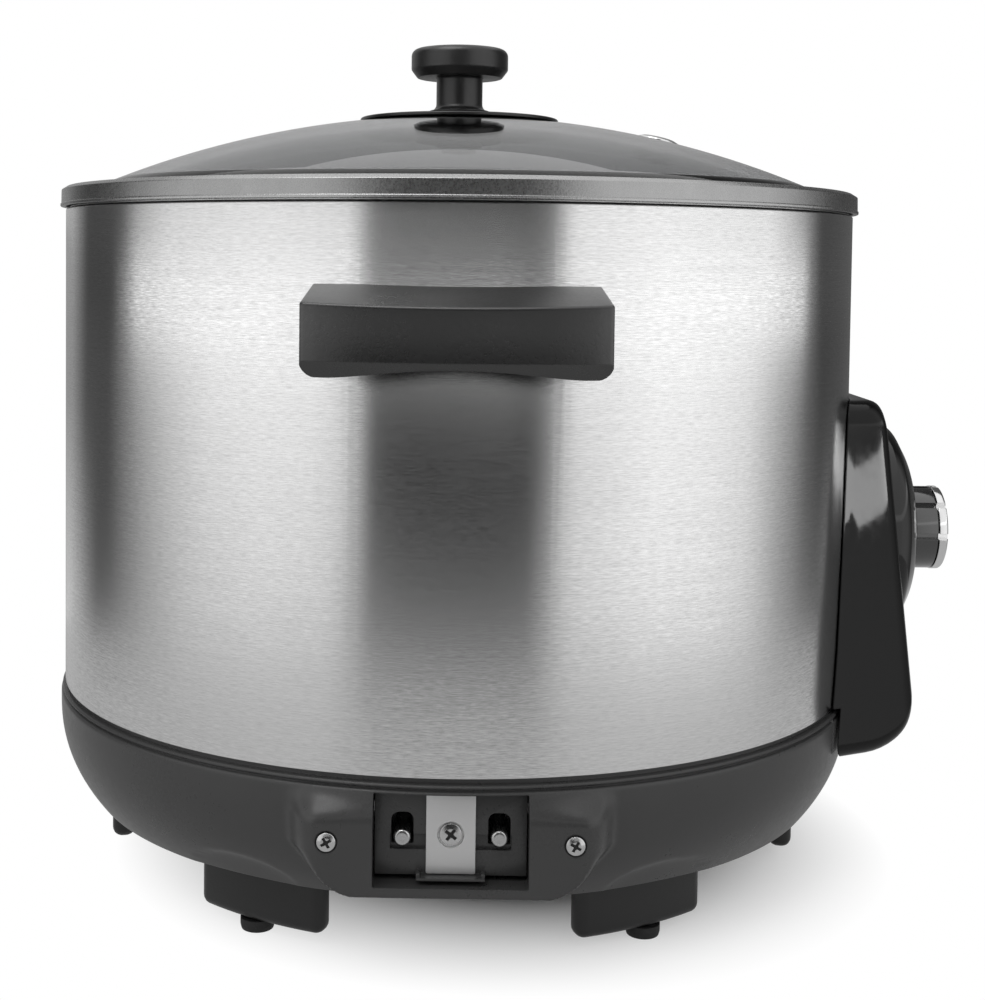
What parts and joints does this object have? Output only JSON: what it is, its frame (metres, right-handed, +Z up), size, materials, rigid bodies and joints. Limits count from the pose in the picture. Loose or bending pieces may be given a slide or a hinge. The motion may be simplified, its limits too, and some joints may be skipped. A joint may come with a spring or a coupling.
{
  "type": "rice cooker",
  "caption": "Electric rice cooker with a brushed steel wall, side handles, a lift-out pot, a domed glass lid with a knob, a dial on one side and a mains inlet in the base.",
  "frame": {"origin": "centre of the bounding box's base, on the plane the pads stand on; the cooker's own axis is 17.85 mm to the -X side of it", "axes": "+X towards the control dial, -Y towards the mains inlet, +Z up along the cooker's axis; the handles are on the Y sides"},
  "size_m": [0.3194, 0.342, 0.2876],
  "materials": {
    "base_plastic": "glossy dark grey",
    "brushed_steel": "brushed round the wall",
    "sheet_steel": "satin",
    "fastener": "bright plated",
    "foot_plastic": "satin black",
    "rubber": "matt black",
    "inlet_black": "black",
    "contact_metal": "bright",
    "earth_metal": "satin",
    "aluminium": "satin",
    "handle_plastic": "satin black",
    "panel_gloss": "gloss black",
    "knob_gloss": "gloss black",
    "trim_chrome": "bright",
    "lens": "clear amber",
    "pot_coating": "dark non-stick",
    "lid_metal": "dark satin",
    "lid_glass": "smoked, clear",
    "vent_metal": "bright",
    "lid_plastic": "satin black"
  },
  "bodies": {
    "body": {"base_housing": "base_plastic", "bottom_plate": "sheet_steel", "plate_screw_1": "fastener", "plate_screw_2": "fastener", "plate_screw_3": "fastener", "foot_1": "foot_plastic", "foot_2": "foot_plastic", "foot_3": "foot_plastic", "foot_4": "foot_plastic", "foot_5": "foot_plastic", "foot_6": "foot_plastic", "foot_pad_1": "rubber", "foot_pad_2": "rubber", "foot_pad_3": "rubber", "foot_pad_4": "rubber", "foot_pad_5": "rubber", "foot_pad_6": "rubber", "inlet_block": "inlet_black", "live_pin": "contact_metal", "neutral_pin": "contact_metal", "earth_plate": "earth_metal", "earth_screw": "fastener", "inlet_screw_left": "fastener", "inlet_screw_right": "fastener", "body_wrap": "brushed_steel", "inner_liner": "aluminium", "heating_plate": "aluminium", "plate_post_1": "fastener", "plate_post_2": "fastener", "plate_post_3": "fastener", "sensor_spring": "fastener", "sensor_bracket": "sheet_steel", "thermal_fuse": "fastener", "fuse_clip": "sheet_steel", "handle_near": "handle_plastic", "handle_far": "handle_plastic", "handle_screw_1": "fastener", "handle_screw_2": "fastener", "handle_screw_3": "fastener", "handle_screw_4": "fastener", "control_housing": "panel_gloss", "control_bezel": "panel_gloss", "bezel_ring": "trim_chrome", "thermostat": "aluminium", "pilot_lens": "lens"},
    "dial": {"knob_shaft": "fastener", "control_knob": "knob_gloss", "knob_trim": "trim_chrome"},
    "sensor": {"sensor_cap": "aluminium"},
    "pot": {"inner_pot": "pot_coating"},
    "lid": {"lid_rim": "lid_metal", "lid_glass": "lid_glass", "steam_vent": "vent_metal", "lid_flange": "lid_plastic", "lid_knob": "lid_plastic", "lid_washer": "rubber", "lid_spacer": "lid_plastic", "lid_screw": "fastener"}
  },
  "joints": [
    {"name": "pot_lift", "type": "slide", "parent": "body", "child": "pot", "axis": [0, 0, 1], "range_m": [0, 0.15]},
    {"name": "lid_lift", "type": "slide", "parent": "pot", "child": "lid", "axis": [0, 0, 1], "range_m": [0, 0.08]},
    {"name": "dial_turn", "type": "hinge", "parent": "body", "child": "dial", "pos_m": [0.14, 0, 0.1145], "axis": [-1, 0, 0], "range_deg": [0, 270]},
    {"name": "sensor_press", "type": "slide", "parent": "body", "child": "sensor", "axis": [0, 0, -1], "range_m": [0, 0.003], "stiffness_N_per_m": 500, "springref_m": -0.002, "deforming": ["sensor_spring"]}
  ]
}
